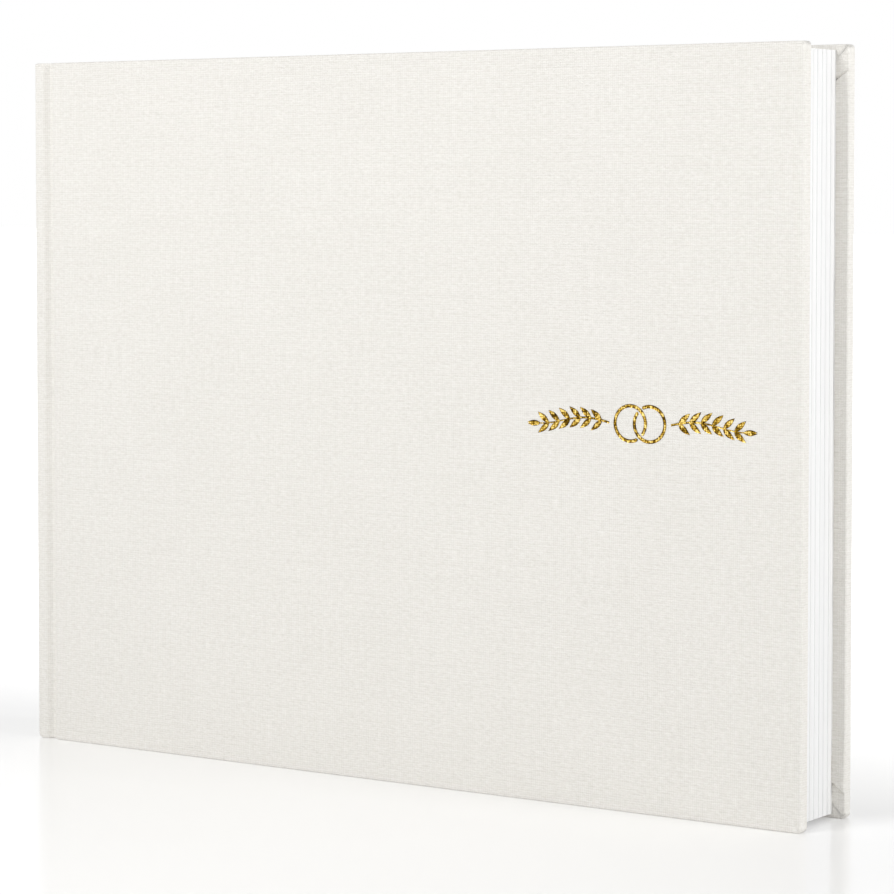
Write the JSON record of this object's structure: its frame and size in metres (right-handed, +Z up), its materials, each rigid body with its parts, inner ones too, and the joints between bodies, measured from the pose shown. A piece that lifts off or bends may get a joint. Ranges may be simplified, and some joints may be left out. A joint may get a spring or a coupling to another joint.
{
  "type": "guest book",
  "caption": "Landscape case-bound guest book with linen-cloth covers, gold foil rings and sprigs, sewn sections and hinged covers.",
  "frame": {"origin": "centre of the bounding box's bottom, where the book stands on its tail edge", "axes": "+X from the spine to the fore-edge, +Y from the front cover to the back cover, +Z up"},
  "size_m": [0.2286, 0.024, 0.1778],
  "materials": {
    "bookcloth": "matte",
    "greyboard": "matte",
    "text_paper": "matte",
    "endpaper": "matte",
    "lining_paper": "matte",
    "gauze": "matte",
    "thread": "matte",
    "glue": "satin",
    "band": "satin",
    "gold_foil": "polished"
  },
  "bodies": {
    "binding": {"spine_board": "greyboard", "spine_cloth": "bookcloth", "front_joint_cloth": "bookcloth", "back_joint_cloth": "bookcloth", "front_endpaper_fold": "endpaper", "back_endpaper_fold": "endpaper", "sewing_thread": "thread", "spine_glue": "glue", "mull": "gauze", "head_band": "band", "tail_band": "band", "spine_lining": "lining_paper", "section_1_fold": "text_paper", "section_2_fold": "text_paper", "section_3_fold": "text_paper", "section_4_fold": "text_paper", "section_5_fold": "text_paper", "section_6_fold": "text_paper", "section_7_fold": "text_paper", "section_8_fold": "text_paper"},
    "front_cover": {"front_board": "greyboard", "front_cover_cloth": "bookcloth", "front_mull_flange": "gauze", "front_pastedown": "endpaper", "foil_ring_left": "gold_foil", "foil_ring_right": "gold_foil", "foil_sprig_left": "gold_foil", "foil_sprig_right": "gold_foil"},
    "front_flyleaf": {"front_flyleaf": "endpaper"},
    "back_cover": {"back_board": "greyboard", "back_cover_cloth": "bookcloth", "back_mull_flange": "gauze", "back_pastedown": "endpaper"},
    "back_flyleaf": {"back_flyleaf": "endpaper"},
    "section_1": {"section_1_leaves": "text_paper"},
    "section_2": {"section_2_leaves": "text_paper"},
    "section_3": {"section_3_leaves": "text_paper"},
    "section_4": {"section_4_leaves": "text_paper"},
    "section_5": {"section_5_leaves": "text_paper"},
    "section_6": {"section_6_leaves": "text_paper"},
    "section_7": {"section_7_leaves": "text_paper"},
    "section_8": {"section_8_leaves": "text_paper"}
  },
  "joints": [
    {"name": "front_cover_hinge", "type": "hinge", "parent": "binding", "child": "front_cover", "pos_m": [-0.1075, -0.01215, 0], "axis": [0, 0, -1], "range_deg": [0, 178], "deforming": ["front_joint_cloth"]},
    {"name": "front_flyleaf_turn", "type": "hinge", "parent": "binding", "child": "front_flyleaf", "pos_m": [-0.1075, -0.01215, 0], "axis": [0, 0, -1], "range_deg": [0, 160], "deforming": ["front_endpaper_fold"]},
    {"name": "section_1_turn", "type": "hinge", "parent": "binding", "child": "section_1", "pos_m": [-0.10833, -0.00984, 0], "axis": [0, 0, -1], "range_deg": [0, 120], "deforming": ["section_1_fold"]},
    {"name": "section_2_turn", "type": "hinge", "parent": "binding", "child": "section_2", "pos_m": [-0.10861, -0.00763, 0], "axis": [0, 0, -1], "range_deg": [0, 90], "deforming": ["section_2_fold"]},
    {"name": "section_3_turn", "type": "hinge", "parent": "binding", "child": "section_3", "pos_m": [-0.10888, -0.00471, 0], "axis": [0, 0, -1], "range_deg": [0, 60], "deforming": ["section_3_fold"]},
    {"name": "section_4_turn", "type": "hinge", "parent": "binding", "child": "section_4", "pos_m": [-0.10916, -0.00108, 0], "axis": [0, 0, -1], "range_deg": [0, 30], "deforming": ["section_4_fold"]},
    {"name": "back_cover_hinge", "type": "hinge", "parent": "binding", "child": "back_cover", "pos_m": [-0.1075, 0.01215, 0], "axis": [0, 0, 1], "range_deg": [0, 178], "deforming": ["back_joint_cloth"]},
    {"name": "back_flyleaf_turn", "type": "hinge", "parent": "binding", "child": "back_flyleaf", "pos_m": [-0.1075, 0.01215, 0], "axis": [0, 0, 1], "range_deg": [0, 160], "deforming": ["back_endpaper_fold"]},
    {"name": "section_8_turn", "type": "hinge", "parent": "binding", "child": "section_8", "pos_m": [-0.10833, 0.00984, 0], "axis": [0, 0, 1], "range_deg": [0, 120], "deforming": ["section_8_fold"]},
    {"name": "section_7_turn", "type": "hinge", "parent": "binding", "child": "section_7", "pos_m": [-0.10861, 0.00763, 0], "axis": [0, 0, 1], "range_deg": [0, 90], "deforming": ["section_7_fold"]},
    {"name": "section_6_turn", "type": "hinge", "parent": "binding", "child": "section_6", "pos_m": [-0.10888, 0.00471, 0], "axis": [0, 0, 1], "range_deg": [0, 60], "deforming": ["section_6_fold"]},
    {"name": "section_5_turn", "type": "hinge", "parent": "binding", "child": "section_5", "pos_m": [-0.10916, 0.00108, 0], "axis": [0, 0, 1], "range_deg": [0, 30], "deforming": ["section_5_fold"]}
  ],
  "couplings": [
    {"joint": "front_flyleaf_turn", "follows": "front_cover_hinge", "ratio": 0.898},
    {"joint": "section_1_turn", "follows": "front_cover_hinge", "ratio": 0.674},
    {"joint": "section_2_turn", "follows": "front_cover_hinge", "ratio": 0.505},
    {"joint": "section_3_turn", "follows": "front_cover_hinge", "ratio": 0.337},
    {"joint": "section_4_turn", "follows": "front_cover_hinge", "ratio": 0.168},
    {"joint": "back_flyleaf_turn", "follows": "back_cover_hinge", "ratio": 0.898},
    {"joint": "section_8_turn", "follows": "back_cover_hinge", "ratio": 0.674},
    {"joint": "section_7_turn", "follows": "back_cover_hinge", "ratio": 0.505},
    {"joint": "section_6_turn", "follows": "back_cover_hinge", "ratio": 0.337},
    {"joint": "section_5_turn", "follows": "back_cover_hinge", "ratio": 0.168}
  ]
}
